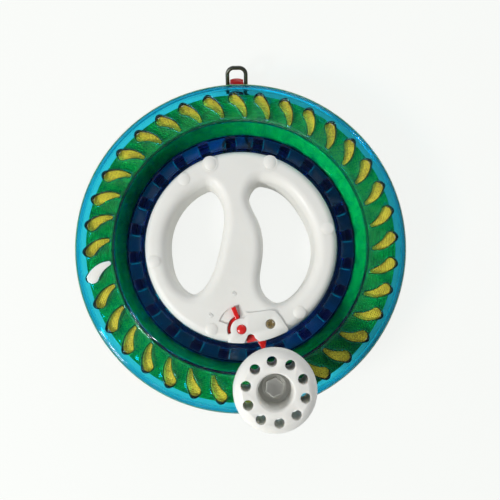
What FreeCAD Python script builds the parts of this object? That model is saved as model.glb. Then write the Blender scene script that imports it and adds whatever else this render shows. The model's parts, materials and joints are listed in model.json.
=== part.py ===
import FreeCAD, Part
import math
import os

# Kite line winder: a spool of two clear shells turns on six ball bearings round a fixed hand grip.
# Units are millimetres. Origin: the spin axis, on the plane of the grip's back face.
# +Z points out of the front, the knob side, and +Y towards the line guide.
# Clock angles are degrees clockwise from +Y as the front is seen.

V = FreeCAD.Vector

# Driving dimensions of the whole winder
SPOOL_RADIUS = 100.0
SPOOL_HALF_WIDTH = 16.0
GRIP_RADIUS = 59.6
GRIP_DEPTH = 31.0
MID_Z = 21.0

# Spool shell, heights counted from the parting plane between its two halves
RACE_RADIUS = 60.9
RACE_HALF_WIDTH = 2.8
LIP_RADIUS = 60.2
LIP_TOP = 4.3
LIP_OUTER_RADIUS = 63.4
WEB_TOP = 2.0
CONE_FOOT_RADIUS = 71.4
CONE_TOP_RADIUS = 76.1
WALL = 2.0
FLANGE_TOP = 14.6
FLANGE_UNDER = FLANGE_TOP - WALL
COLLAR_RADIUS = 77.3
RIM_INNER_RADIUS = 96.8
HUB_WAIST_RADIUS = 72.8
HUB_SHOULDER_RADIUS = 77.4

# Ribs on the web, which the lock bolt catches
RIB_COUNT = 24
RIB_CLOCK = 10.0
RIB_ANGLE = 5.6
RIB_INNER_RADIUS = 65.8
RIB_OUTER_RADIUS = 69.8
RIB_TOP = 7.0
SILL_TOP = 4.7
SILL_RADIUS = 60.6

# Leaf-shaped windows in the flanges, drawn at clock angle 0
LEAF_COUNT = 36
LEAF_CLOCK = 7.8
LEAF_CROWN = [V(-2.0, 88.4), V(-1.9, 93.8), V(3.2, 93.3)]
LEAF_BACK = V(7.2, 87.3)
LEAF_TIP = [V(8.1, 80.8), V(6.8, 78.8), V(5.2, 80.2)]
LEAF_BELLY = V(2.3, 84.9)
BOSS_LEAF = 16
PLUGGED_LEAF = 25

# Line
LINE_RADIUS = 94.6
LINE_GAP = 0.05

# Bearings and the pins that carry them
BEARING_CLOCKS = [20.0, 80.0, 140.0, 200.0, 260.0, 320.0]
GUIDE_CLOCK = 340.0
PIN_CIRCLE = 54.35
BEARING_RADIUS = 6.5
BEARING_WIDTH = 5.0
BEARING_BORE = 2.0
PIN_RADIUS = 1.95

# Knob, turning on a shouldered bolt
KNOB_CLOCK = 167.9
KNOB_CIRCLE = 84.4
KNOB_RADIUS = 22.8
KNOB_FACE_Z = 67.8
KNOB_FOOT_Z = 41.0
KNOB_HOLES = 10
KNOB_HOLE_RADIUS = 2.85
KNOB_HOLE_CIRCLE = 16.2
KNOB_HOLE_CLOCK = -6.0
BOSS_RADIUS = 7.0
BOSS_TOP_Z = 40.6

# Lock
LEVER_PIVOT = V(-0.3, -51.3, 0)
LEVER_CLOCK_ANGLE = 110.0
LEVER_TRAVEL = 36.0
LEVER_REACH = 14.3
SLOT_INNER = 6.7
SLOT_OUTER = 8.9
COVER_SCREW = V(17.2, -48.3, 0)
BOLT_CLOCK = 168.5
BOLT_TRAVEL = 3.4
LOCK_FLOOR_Z = 25.8
LOCK_LOW_Z = 26.0
LOCK_HIGH_Z = 28.6
COVER_UNDER_Z = 28.8
COVER_TOP_Z = 32.0

# Line guide
GUIDE_X = -1.5
WIRE_RADIUS = 1.3
WIRE_Z = 3.4
LOOP_HALF_WIDTH = 6.1
LOOP_LEAN = 43.5
LOOP_FOOT_Y = 103.5
LOOP_TOP_Y = 118.9
LOOP_CORNER = 4.4
ROLLER_Y = 111.1

# Bolt, insert, sleeve, washer and recess of the knob
INSERT_RADIUS = 4.5
BOLT_RADIUS = 3.0
SLEEVE_RADIUS = 4.0
HEX_FLATS = 10.0
HEX_HEIGHT = 4.0
WASHER_Z = 47.8
WASHER_THICK = 1.6
WASHER_RADIUS = 7.0
KNOB_FLOOR_Z = 47.5
RECESS_RADIUS = 9.2
RECESS_MOUTH = 10.5
CAP_UNDER_Z = 45.5
STEM_RADIUS = 12.4

# Grip: finger openings, bearing pockets, screws and bosses
LEFT_OPENING = [
    (-22.0, 38.2), (-36.3, 27.6), (-45.1, 9.8), (-45.3, -8.0), (-38.8, -24.6),
    (-29.6, -29.8), (-22.0, -24.0), (-14.8, -7.5), (-11.2, 9.5), (-12.5, 29.0),
]
RIGHT_OPENING = [
    (14.0, 41.3), (26.5, 36.2), (39.1, 20.9), (45.7, 1.0), (43.6, -15.0), (34.5, -29.6),
    (21.5, -35.8), (12.9, -28.5), (13.2, -8.0), (10.2, 17.0), (5.7, 33.0),
]
OPENING_FILLET = 6.5
EDGE_FILLET = 5.0
POCKET_LOW = MID_Z - BEARING_WIDTH / 2 - 0.3
POCKET_HIGH = MID_Z + BEARING_WIDTH / 2 + 0.3
SHOULDER_RADIUS = 3.1
SCREW_RADIUS = 1.5
SCREW_HEAD_RADIUS = 2.9
SCREW_HEAD_FLOOR = 5.5
SCREW_TIP_Z = 27.5
DOME_RADIUS = 3.8
COLLAR_BOSS_RADIUS = 5.5
EYE_RADIUS = 2.9
EYE_FLOOR = WIRE_Z + WIRE_RADIUS
GUIDE_CLOCKS = [20.0, 340.0]

# Lock, in detail: screw pin, cover outline, slot, lever and bolt
PIN_TOP_Z = 25.0
COVER_RIGHT = [V(16.2, -40.1, 0), V(20.4, -40.8, 0), V(23.2, -44.0, 0), V(27.6, -51.0, 0)]
COVER_NECK = V(3.8, -41.4, 0)
NOTCH = [V(10.2, -58.7, 0), V(7.6, -56.4, 0), V(5.0, -54.2, 0), V(3.5, -54.9, 0), V(1.8, -58.8, 0)]
COVER_LEFT_CLOCK = 188.5
STOP_NUB = V(2.7, -41.7, 0)
STOP_NUB_HALF_LENGTH = 0.7
STOP_NUB_RADIUS = 0.6
SLOT_END = 200.0
SLOT_START = 98.0
PIVOT_CAP_RADIUS = 2.8
HUB_RADIUS = 4.6
DISC_RADIUS = 8.5
PEG_RADIUS = 1.5
PEG_LOW_Z = 23.6
DRIVE_PIN_RADIUS = 0.9
YOKE_TOP_Z = 27.3
YOKE_BACK = 43.2
FINGER_REACH = 9.0
FINGER_START = 54.8
FINGER_LENGTH = 4.3
BOLT_HALF_WIDTH = 2.5
BOLT_TIP_RADIUS = 65.0


def polar(radius, clock, z=0.0):
    """A point at a radius and clock angle."""
    turn = math.radians(clock)
    return V(radius * math.sin(turn), radius * math.cos(turn), z)


def around(centre, radius, degrees, z=0.0):
    """A point on a circle, with ordinary angles counted from +X towards +Y."""
    turn = math.radians(degrees)
    return V(centre.x + radius * math.cos(turn), centre.y + radius * math.sin(turn), z)


def turned(shape, clock):
    """A copy turned clockwise about the spin axis."""
    copy = shape.copy()
    copy.rotate(V(0, 0, 0), V(0, 0, 1), -clock)
    return copy


def revolved(points, centre=V(0, 0, 0)):
    """A solid of revolution about Z through centre from (radius, z) corners."""
    corners = [V(r, 0, z) for r, z in points]
    face = Part.Face(Part.makePolygon(corners + corners[:1]))
    solid = face.revolve(V(0, 0, 0), V(0, 0, 1), 360)
    solid.translate(V(centre.x, centre.y, 0))
    return solid


def prism(edges, low, high):
    """A flat outline of edges at z 0, made a solid between two heights."""
    face = Part.Face(Part.Wire(Part.__sortEdges__(edges)))
    face.translate(V(0, 0, low))
    return face.extrude(V(0, 0, high - low))


def cylinder(centre, radius, low, high):
    return Part.makeCylinder(radius, high - low, V(centre.x, centre.y, low))


def arc(a, b, c):
    return Part.Arc(a, b, c).toShape()


def line(a, b):
    return Part.LineSegment(a, b).toShape()


def mirrored_to_rear(shape):
    """The same shape on the other side of the parting plane."""
    return shape.mirror(V(0, 0, MID_Z), V(0, 0, 1))


def leaf(low, high):
    """One leaf-shaped window at clock angle 0: crown arc, back, tip and belly."""
    edges = [
        arc(*LEAF_CROWN),
        arc(LEAF_CROWN[2], LEAF_BACK, LEAF_TIP[0]),
        arc(*LEAF_TIP),
        arc(LEAF_TIP[2], LEAF_BELLY, LEAF_CROWN[0]),
    ]
    return prism(edges, low, high)


def leaf_clock(index):
    return LEAF_CLOCK + index * 360.0 / LEAF_COUNT


def spool_wall():
    """The turned wall of one spool half: race, lip, web, cone, flange and rim."""
    m = MID_Z
    profile = [
        (RACE_RADIUS, m),
        (RACE_RADIUS, m + RACE_HALF_WIDTH),
        (LIP_RADIUS, m + RACE_HALF_WIDTH),
        (LIP_RADIUS, m + LIP_TOP),
        (LIP_OUTER_RADIUS, m + LIP_TOP),
        (LIP_OUTER_RADIUS, m + WEB_TOP),
        (CONE_FOOT_RADIUS, m + WEB_TOP),
        (CONE_TOP_RADIUS, m + FLANGE_TOP),
        (CONE_TOP_RADIUS, m + SPOOL_HALF_WIDTH - 0.4),
        (COLLAR_RADIUS, m + SPOOL_HALF_WIDTH - 0.4),
        (COLLAR_RADIUS + 0.6, m + FLANGE_TOP),
        (RIM_INNER_RADIUS, m + FLANGE_TOP),
        (RIM_INNER_RADIUS + 0.8, m + SPOOL_HALF_WIDTH),
        (SPOOL_RADIUS - 0.8, m + SPOOL_HALF_WIDTH),
        (SPOOL_RADIUS, m + SPOOL_HALF_WIDTH - 0.9),
        (SPOOL_RADIUS, m + FLANGE_UNDER),
        (HUB_SHOULDER_RADIUS, m + FLANGE_UNDER),
        (HUB_WAIST_RADIUS, m),
    ]
    return revolved(profile)


def web_rib():
    """One rib at clock angle 0: tall over the web, a low sill over the lip."""
    half = math.radians(RIB_ANGLE / 2)
    tall_width = 2 * RIB_INNER_RADIUS * math.tan(half)
    sill_width = 2 * SILL_RADIUS * math.tan(half)
    root = 0.5
    tall = Part.makeBox(
        tall_width, RIB_OUTER_RADIUS - RIB_INNER_RADIUS, RIB_TOP - WEB_TOP + root,
        V(-tall_width / 2, RIB_INNER_RADIUS, MID_Z + WEB_TOP - root),
    )
    sill = Part.makeBox(
        sill_width, RIB_INNER_RADIUS + 1 - SILL_RADIUS, SILL_TOP - WEB_TOP,
        V(-sill_width / 2, SILL_RADIUS, MID_Z + WEB_TOP),
    )
    lip = cylinder(V(0, 0, 0), LIP_OUTER_RADIUS, MID_Z, MID_Z + LIP_TOP)
    return tall.fuse(sill.cut(lip))


def spool_half(skip_leaf=None):
    wall = spool_wall()
    ribs = [turned(web_rib(), RIB_CLOCK + n * 360.0 / RIB_COUNT) for n in range(RIB_COUNT)]
    wall = wall.fuse(ribs)
    window = leaf(MID_Z + FLANGE_UNDER - 1, MID_Z + FLANGE_TOP + 1)
    windows = [turned(window, leaf_clock(n)) for n in range(LEAF_COUNT) if n != skip_leaf]
    return wall.cut(Part.makeCompound(windows))


def knob_axis():
    return polar(KNOB_CIRCLE, KNOB_CLOCK)


def spool_front():
    """The front half, with the boss and its seat for the threaded insert."""
    axis = knob_axis()
    under = MID_Z + FLANGE_UNDER
    boss = cylinder(axis, BOSS_RADIUS, under, BOSS_TOP_Z)
    half = spool_half(skip_leaf=BOSS_LEAF).fuse(boss)
    return half.cut(cylinder(axis, INSERT_RADIUS, under - 1, BOSS_TOP_Z + 1)).removeSplitter()


def spool_rear():
    return mirrored_to_rear(spool_half()).removeSplitter()


def window_plug():
    """The blank plug pressed into one leaf window."""
    return turned(leaf(MID_Z + FLANGE_UNDER, MID_Z + FLANGE_TOP + 0.2), leaf_clock(PLUGGED_LEAF))


def line_pack():
    """The wound line as one body, level with what the flanges and hub leave."""
    high = FLANGE_UNDER - LINE_GAP
    waist = HUB_WAIST_RADIUS + LINE_GAP
    shoulder = HUB_SHOULDER_RADIUS + LINE_GAP
    return revolved([
        (waist, MID_Z),
        (shoulder, MID_Z + high),
        (LINE_RADIUS, MID_Z + high),
        (LINE_RADIUS + 0.5, MID_Z + high - 4),
        (LINE_RADIUS + 0.5, MID_Z - high + 4),
        (LINE_RADIUS, MID_Z - high),
        (shoulder, MID_Z - high),
    ])


# Knob and its bolt


def knob_profile():
    """Edges of the knob's section in the XZ plane, dished round the bolt recess."""
    top = KNOB_FACE_Z
    p = {
        "bore_low": V(SLEEVE_RADIUS + 0.05, 0, KNOB_FOOT_Z),
        "bore_high": V(SLEEVE_RADIUS + 0.05, 0, KNOB_FLOOR_Z),
        "floor": V(RECESS_RADIUS, 0, KNOB_FLOOR_Z),
        "wall": V(RECESS_RADIUS + 0.3, 0, top - 3.0),
        "mouth_mid": V(RECESS_RADIUS + 0.6, 0, top - 1.1),
        "mouth": V(RECESS_MOUTH, 0, top - 0.1),
        "crown": V(KNOB_RADIUS - 5.2, 0, top),
        "brow": V(KNOB_RADIUS - 0.9, 0, top - 3.6),
        "widest": V(KNOB_RADIUS, 0, top - 9.6),
        "skirt": V(KNOB_RADIUS - 0.9, 0, CAP_UNDER_Z + 1.4),
        "under": V(KNOB_RADIUS - 2.6, 0, CAP_UNDER_Z),
        "neck": V(STEM_RADIUS, 0, CAP_UNDER_Z),
        "foot": V(STEM_RADIUS - 2.4, 0, KNOB_FOOT_Z),
    }
    return [
        line(p["bore_low"], p["bore_high"]),
        line(p["bore_high"], p["floor"]),
        line(p["floor"], p["wall"]),
        arc(p["wall"], p["mouth_mid"], p["mouth"]),
        line(p["mouth"], p["crown"]),
        arc(p["crown"], p["brow"], p["widest"]),
        line(p["widest"], p["skirt"]),
        line(p["skirt"], p["under"]),
        line(p["under"], p["neck"]),
        line(p["neck"], p["foot"]),
        line(p["foot"], p["bore_low"]),
    ]


def winding_knob():
    face = Part.Face(Part.Wire(knob_profile()))
    knob = face.revolve(V(0, 0, 0), V(0, 0, 1), 360)
    holes = []
    for n in range(KNOB_HOLES):
        at = polar(KNOB_HOLE_CIRCLE, KNOB_HOLE_CLOCK + n * 360.0 / KNOB_HOLES)
        holes.append(cylinder(at, KNOB_HOLE_RADIUS, CAP_UNDER_Z - 1, KNOB_FACE_Z + 1))
    knob = knob.cut(Part.makeCompound(holes))
    knob.translate(knob_axis())
    return knob


def hexagon(flats, low, high, degrees=0.0):
    corner = flats / math.cos(math.radians(30)) / 2
    centre = V(0, 0, 0)
    points = [around(centre, corner, degrees + 60 * n) for n in range(6)]
    face = Part.Face(Part.makePolygon(points + points[:1]))
    face.translate(V(0, 0, low))
    return face.extrude(V(0, 0, high - low))


def knob_bolt():
    """Hexagon head bolt, its head's corners turned off at 30 degrees."""
    seat = WASHER_Z + WASHER_THICK
    top = seat + HEX_HEIGHT
    head = hexagon(HEX_FLATS, seat, top, 8.0)
    corner = HEX_FLATS / math.cos(math.radians(30)) / 2
    bevel = 0.55
    turned_blank = revolved([
        (0, seat), (corner + 0.5, seat), (corner + 0.5, top - bevel - 0.3),
        (corner - 2 * bevel, top), (0, top),
    ])
    head = head.common(turned_blank)
    shank = cylinder(V(0, 0, 0), BOLT_RADIUS, MID_Z + FLANGE_UNDER, seat)
    bolt = head.fuse(shank)
    bolt.translate(knob_axis())
    return bolt


def ring(centre, inner, outer, low, high):
    return cylinder(centre, outer, low, high).cut(cylinder(centre, inner, low - 1, high + 1))


# Grip


def opening_wire(points):
    curve = Part.BSplineCurve()
    curve.interpolate(Points=[V(x, y, 0) for x, y in points], PeriodicFlag=True)
    return Part.Wire(curve.toShape())


def grip_blank():
    """The whole grip before it is parted: a disc, two finger openings, all edges rounded."""
    disc = Part.Wire(Part.makeCircle(GRIP_RADIUS, V(0, 0, 0)))
    outlines = [opening_wire(LEFT_OPENING), opening_wire(RIGHT_OPENING)]
    face = Part.Face(disc)
    blank = face.extrude(V(0, 0, GRIP_DEPTH))
    for outline in outlines:
        blank = blank.cut(Part.Face(outline).extrude(V(0, 0, GRIP_DEPTH)))
    rims = []
    mouths = []
    for edge in blank.Edges:
        box = edge.BoundBox
        if box.ZLength > 0.1:
            continue
        if box.XLength > 1.9 * GRIP_RADIUS:
            rims.append(edge)
        else:
            mouths.append(edge)
    blank = blank.makeFillet(OPENING_FILLET, mouths)
    rims = [
        e for e in blank.Edges
        if e.BoundBox.ZLength < 0.1 and e.BoundBox.XLength > 1.9 * GRIP_RADIUS
    ]
    return blank.makeFillet(EDGE_FILLET, rims)


def slab(low, high):
    size = 3 * GRIP_RADIUS
    return Part.makeBox(size, size, high - low, V(-size / 2, -size / 2, low))


def screw_places():
    return [polar(PIN_CIRCLE, clock) for clock in BEARING_CLOCKS + [GUIDE_CLOCK]]


def guide_screw_places():
    return [polar(PIN_CIRCLE, clock) for clock in GUIDE_CLOCKS]


def plain_screw_places():
    return [polar(PIN_CIRCLE, clock) for clock in BEARING_CLOCKS if clock not in GUIDE_CLOCKS]


def bearing_places():
    return [polar(PIN_CIRCLE, clock) for clock in BEARING_CLOCKS]


def dome(centre, radius, low, shoulder, rise):
    """A short round boss with a shallow domed top and a small flat at its crown."""
    ball_radius = (radius * radius + rise * rise) / (2 * rise)
    half = math.asin(radius / ball_radius) / 2
    flat = 0.4
    crown = V(flat, 0, shoulder + rise - ball_radius + math.sqrt(ball_radius * ball_radius - flat * flat))
    middle = V(0, 0, crown.z)
    midway = V(ball_radius * math.sin(half), 0, shoulder + rise - ball_radius * (1 - math.cos(half)))
    profile = [
        line(V(0, 0, low), V(radius, 0, low)),
        line(V(radius, 0, low), V(radius, 0, shoulder)),
        arc(V(radius, 0, shoulder), midway, crown),
        line(crown, middle),
        line(middle, V(0, 0, low)),
    ]
    solid = Part.Face(Part.Wire(profile)).revolve(V(0, 0, 0), V(0, 0, 1), 360)
    solid.translate(V(centre.x, centre.y, 0))
    return solid


def grip_front(blank):
    """Front grip shell: domed screw bosses, bearing pockets and the lock's well."""
    shell = blank.common(slab(MID_Z, GRIP_DEPTH + 5))
    bosses = [dome(at, DOME_RADIUS, MID_Z + 6, GRIP_DEPTH + 0.2, 0.8) for at in screw_places()]
    for clock in GUIDE_CLOCKS:
        at = polar(PIN_CIRCLE, clock)
        bosses.append(dome(at, DOME_RADIUS, MID_Z + 6, GRIP_DEPTH + 0.7, 1.0))
        bosses.append(cylinder(at, COLLAR_BOSS_RADIUS - 0.6, MID_Z + 6, GRIP_DEPTH + 0.4))
    shell = shell.fuse(bosses)
    cuts = []
    shell = shell.fuse(stop_nub())
    for at in bearing_places():
        pocket = cylinder(at, BEARING_RADIUS + 0.6, MID_Z, POCKET_HIGH)
        seat = cylinder(at, SHOULDER_RADIUS, MID_Z + BEARING_WIDTH / 2, POCKET_HIGH)
        cuts.append(pocket.cut(seat))
        cuts.append(cylinder(at, PIN_RADIUS + 0.05, MID_Z, PIN_TOP_Z))
    for at in screw_places():
        cuts.append(cylinder(at, SCREW_RADIUS, MID_Z, SCREW_TIP_Z + 0.5))
    cuts.append(cylinder(COVER_SCREW, SCREW_RADIUS, MID_Z + 1.5, COVER_UNDER_Z))
    cuts += lock_well()
    return cut_all(shell, cuts)


def stop_nub():
    """The small pill beside the lock that the lever's tab stops at."""
    low, high = GRIP_DEPTH - 2, GRIP_DEPTH + 0.8
    ends = [STOP_NUB + V(side * STOP_NUB_HALF_LENGTH, 0, 0) for side in (-1, 1)]
    bar = Part.makeBox(2 * STOP_NUB_HALF_LENGTH, 2 * STOP_NUB_RADIUS, high - low,
                       V(ends[0].x, ends[0].y - STOP_NUB_RADIUS, low))
    return bar.fuse([cylinder(end, STOP_NUB_RADIUS, low, high) for end in ends])


def cut_all(shape, tools):
    for tool in tools:
        shape = shape.cut(tool)
    return shape


def grip_rear(blank):
    """Rear grip shell: bearing pins, pockets, screw recesses and seats for the guide wire."""
    shell = blank.common(slab(-1, MID_Z))
    for at in bearing_places():
        pocket = cylinder(at, BEARING_RADIUS + 0.6, POCKET_LOW, MID_Z)
        seat = cylinder(at, SHOULDER_RADIUS, POCKET_LOW, MID_Z - BEARING_WIDTH / 2)
        shell = shell.cut(pocket.cut(seat))
        shell = shell.fuse(cylinder(at, PIN_RADIUS, MID_Z - BEARING_WIDTH / 2 - 1, PIN_TOP_Z - 0.1))
    for at in screw_places():
        shell = shell.cut(cylinder(at, SCREW_RADIUS + 0.1, -1, PIN_TOP_Z + 1))
    for at in plain_screw_places():
        shell = shell.cut(cylinder(at, SCREW_HEAD_RADIUS + 0.2, -1, SCREW_HEAD_FLOOR))
    for at in guide_screw_places():
        shell = shell.cut(cylinder(at, EYE_RADIUS + WIRE_RADIUS + 0.2, -1, EYE_FLOOR))
    return shell.cut(guide_groove())


def grip_screw(at, head_z):
    """Self-tapping screw with a pan head at the back."""
    head = cylinder(at, SCREW_HEAD_RADIUS, head_z - 2.0, head_z)
    recess = cross_recess(at, head_z - 2.0, 1.0, up=False)
    return head.fuse(cylinder(at, SCREW_RADIUS, head_z, SCREW_TIP_Z)).cut(recess)


def cross_recess(at, face_z, depth, up=True):
    long, short = 2.6, 0.7
    low = face_z - depth if up else face_z
    a = Part.makeBox(long, short, depth, V(at.x - long / 2, at.y - short / 2, low))
    b = Part.makeBox(short, long, depth, V(at.x - short / 2, at.y - long / 2, low))
    return a.fuse(b)


# Lock


def on_rim(point_or_x, radius):
    """The point of the grip's lower edge straight below an X."""
    return V(point_or_x, -math.sqrt(radius * radius - point_or_x * point_or_x), 0)


def cover_outline(grow=0.0):
    """Outline of the lock cover: round the lever's slot, along the top, down and back on the rim."""
    rim = GRIP_RADIUS
    left = polar(rim, COVER_LEFT_CLOCK)
    slot_low = around(LEVER_PIVOT, SLOT_INNER, SLOT_END)
    slot_mid = around(LEVER_PIVOT, SLOT_INNER, 150)
    slot_high = around(LEVER_PIVOT, SLOT_INNER, 78)
    top, shoulder, cheek, corner = COVER_RIGHT
    low_corner = on_rim(26.8, rim)
    notch_right = on_rim(NOTCH[0].x, rim)
    notch_left = on_rim(NOTCH[4].x - 0.4, rim)
    return [
        line(left, slot_low),
        arc(slot_low, slot_mid, slot_high),
        line(slot_high, COVER_NECK),
        line(COVER_NECK, top),
        arc(top, V(18.5, -40.2, 0), shoulder),
        line(shoulder, cheek),
        line(cheek, corner),
        arc(corner, V(27.8, -52.0, 0), low_corner),
        arc(low_corner, polar(rim, 161.0), notch_right),
        line(notch_right, NOTCH[1]),
        arc(NOTCH[1], NOTCH[2], NOTCH[3]),
        line(NOTCH[3], notch_left),
        arc(notch_left, polar(rim, 182.0), left),
    ]


def sector(centre, inner, outer, start, end, low, high):
    """Part of a ring between two ordinary angles."""
    mid = (start + end) / 2
    a, b, c = (around(centre, outer, d) for d in (start, mid, end))
    d, e, f = (around(centre, inner, g) for g in (end, mid, start))
    return prism([arc(a, b, c), line(c, d), arc(d, e, f), line(f, a)], low, high)


def along_bolt(shape):
    """Turn a shape drawn with the bolt pointing along +Y to the bolt's clock angle."""
    return turned(shape, BOLT_CLOCK)


def bolt_box(near, far, start, end, low, high):
    """A box in the bolt's own directions: across towards the grip's left, outwards from start to end."""
    box = Part.makeBox(far - near, end - start, high - low, V(near, start, low))
    return along_bolt(box)


def in_bolt_frame(point):
    """A point's distance across the bolt and out along it, matching bolt_box."""
    across = polar(1.0, BOLT_CLOCK + 90)
    out = polar(1.0, BOLT_CLOCK)
    return point.dot(across), point.dot(out)


def drive_pin():
    """The lever's drive pin: it crosses the bolt's direction half-way through the travel."""
    reach = BOLT_TRAVEL / (2 * math.sin(math.radians(LEVER_TRAVEL / 2)))
    start = 90 - BOLT_CLOCK + 270 - LEVER_TRAVEL / 2
    return around(LEVER_PIVOT, reach, start)


def lock_well():
    """Cuts in the front shell for the lock: cover seat, lever disc, slot, fan, bolt channel."""
    low, high = LOCK_FLOOR_Z, COVER_UNDER_Z
    pin_across, pin_out = in_bolt_frame(drive_pin())
    plate = prism(cover_outline(), high, GRIP_DEPTH + 2)
    disc = sector(LEVER_PIVOT, 0.5, DISC_RADIUS + 0.2, 55, SLOT_END + LEVER_TRAVEL + 1.5, YOKE_TOP_Z, high)
    hub = cylinder(LEVER_PIVOT, HUB_RADIUS + 0.2, YOKE_TOP_Z, high)
    peg = cylinder(LEVER_PIVOT, PEG_RADIUS + 0.05, PEG_LOW_Z - 0.2, low)
    slot = sector(LEVER_PIVOT, SLOT_INNER - 0.6, SLOT_OUTER, SLOT_START, SLOT_END, high - 0.5, GRIP_DEPTH + 2)
    fan = sector(LEVER_PIVOT, SLOT_INNER, LEVER_REACH + 0.4, SLOT_START - 2,
                 LEVER_CLOCK_ANGLE + LEVER_TRAVEL + 14, GRIP_DEPTH - 1.0, GRIP_DEPTH + 2)
    channel = bolt_box(-BOLT_HALF_WIDTH - 0.1, BOLT_HALF_WIDTH + 0.1, YOKE_BACK - 0.2, 66, low, high)
    yoke = bolt_box(0, pin_across + 2.3, YOKE_BACK - 0.2, pin_out + 2.2 + BOLT_TRAVEL, low, YOKE_TOP_Z + 0.1)
    finger = bolt_box(0, FINGER_REACH + 0.2, FINGER_START - 0.2, 66, low, high)
    return [plate, disc, hub, peg, slot, fan, channel, yoke, finger, notch_window()]


def notch_window():
    """The shell is open in the cover's notch too, down to the bolt's channel floor."""
    right, left = V(NOTCH[0].x, -66, 0), V(NOTCH[4].x, -66, 0)
    outline = [
        line(NOTCH[0], NOTCH[1]),
        arc(NOTCH[1], NOTCH[2], NOTCH[3]),
        line(NOTCH[3], NOTCH[4]),
        line(NOTCH[4], left),
        line(left, right),
        line(right, NOTCH[0]),
    ]
    return prism(outline, LOCK_FLOOR_Z, GRIP_DEPTH + 2)


def lock_cover():
    """Cover plate over the lock, standing proud of the shell, held by one screw."""
    plate = prism(cover_outline(), COVER_UNDER_Z, COVER_TOP_Z)
    tools = [
        cylinder(LEVER_PIVOT, PIVOT_CAP_RADIUS + 0.08, COVER_UNDER_Z - 1, COVER_TOP_Z + 1),
        cylinder(COVER_SCREW, SCREW_RADIUS + 0.1, COVER_UNDER_Z - 1, COVER_TOP_Z + 1),
        cylinder(COVER_SCREW, SCREW_HEAD_RADIUS, COVER_TOP_Z - 1.9, COVER_TOP_Z + 1),
    ]
    return cut_all(plate, tools)


def lock_lever():
    """Red lever: disc under the slot, thumb tab, pivot peg and cap, and the drive pin below."""
    hub = cylinder(LEVER_PIVOT, HUB_RADIUS, YOKE_TOP_Z + 0.1, LOCK_HIGH_Z)
    disc = sector(LEVER_PIVOT, 3.0, DISC_RADIUS, 60, SLOT_END, YOKE_TOP_Z + 0.1, LOCK_HIGH_Z)
    peg = cylinder(LEVER_PIVOT, PEG_RADIUS, PEG_LOW_Z, LOCK_HIGH_Z)
    cap = dome(LEVER_PIVOT, PIVOT_CAP_RADIUS, YOKE_TOP_Z + 0.1, COVER_TOP_Z + 0.2, 0.9)
    pin = cylinder(drive_pin(), DRIVE_PIN_RADIUS, LOCK_LOW_Z + 0.1, LOCK_HIGH_Z)
    half = 1.35
    tab = Part.makeBox(LEVER_REACH - SLOT_INNER - 0.2, 2 * half, 3.0,
                       V(SLOT_INNER + 0.2, -half, GRIP_DEPTH - 0.7))
    tab = tab.makeFillet(0.5, [e for e in tab.Edges if e.BoundBox.ZMin > GRIP_DEPTH + 2])
    stalk = Part.makeBox(SLOT_OUTER - SLOT_INNER - 0.5, 2 * half, GRIP_DEPTH - YOKE_TOP_Z,
                         V(SLOT_INNER + 0.2, -half, YOKE_TOP_Z + 0.1))
    arm = tab.fuse(stalk)
    arm.rotate(V(0, 0, 0), V(0, 0, 1), LEVER_CLOCK_ANGLE)
    arm.translate(V(LEVER_PIVOT.x, LEVER_PIVOT.y, 0))
    return hub.fuse([disc, peg, cap, pin, arm]).removeSplitter()


def lock_bolt():
    """Sliding bolt: tapered nose, a finger in the cover's notch, a yoke round the lever's peg."""
    nose_root = GRIP_RADIUS + 0.8
    half = BOLT_HALF_WIDTH
    outline = [
        V(-half, YOKE_BACK, 0), V(half, YOKE_BACK, 0), V(half, nose_root, 0),
        V(0.9, BOLT_TIP_RADIUS, 0), V(-0.9, BOLT_TIP_RADIUS, 0), V(-half, nose_root, 0),
    ]
    shank = Part.Face(Part.makePolygon(outline + outline[:1]))
    shank.translate(V(0, 0, LOCK_LOW_Z))
    shank = along_bolt(shank.extrude(V(0, 0, LOCK_HIGH_Z - LOCK_LOW_Z)))
    pivot_across, pivot_out = in_bolt_frame(LEVER_PIVOT)
    pin_across, pin_out = in_bolt_frame(drive_pin())
    yoke = bolt_box(0, pin_across + 2.1, YOKE_BACK, pin_out + 2.0, LOCK_LOW_Z, YOKE_TOP_Z)
    peg_gap = bolt_box(pivot_across - PEG_RADIUS - 0.2, pivot_across + PEG_RADIUS + 0.2,
                       pivot_out - PEG_RADIUS - BOLT_TRAVEL - 0.2, 60, LOCK_LOW_Z - 1, YOKE_TOP_Z + 1)
    finger = bolt_box(0, FINGER_REACH, FINGER_START, FINGER_START + FINGER_LENGTH, LOCK_LOW_Z, LOCK_HIGH_Z - 0.4)
    play = DRIVE_PIN_RADIUS + 0.08
    pin_slot = bolt_box(pin_across - play - 0.1, pin_across + play + 0.45, pin_out - play, pin_out + play,
                        LOCK_LOW_Z - 1, YOKE_TOP_Z + 1)
    bolt = shank.fuse(yoke.cut(peg_gap).cut(pin_slot)).fuse(finger)
    return bolt.removeSplitter()


def guide_points():
    """Corners and bend radii of the guide wire, from the right eye over the loop to the left eye."""
    lean = math.radians(LOOP_LEAN)
    rise = (LOOP_TOP_Y - LOOP_FOOT_Y) * math.tan(lean)
    eye = polar(PIN_CIRCLE, GUIDE_CLOCKS[0])
    right, left = GUIDE_X + LOOP_HALF_WIDTH, GUIDE_X - LOOP_HALF_WIDTH
    z = WIRE_Z
    return [
        (V(eye.x, eye.y + EYE_RADIUS, z), 0),
        (V(right, 70.0, z), 8.0),
        (V(right, LOOP_FOOT_Y, z), 3.0),
        (V(right, LOOP_TOP_Y, z + rise), LOOP_CORNER),
        (V(left, LOOP_TOP_Y, z + rise), LOOP_CORNER),
        (V(left, LOOP_FOOT_Y, z), 3.0),
        (V(left, 70.0, z), 8.0),
        (V(-eye.x, eye.y + EYE_RADIUS, z), 0),
    ]


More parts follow.
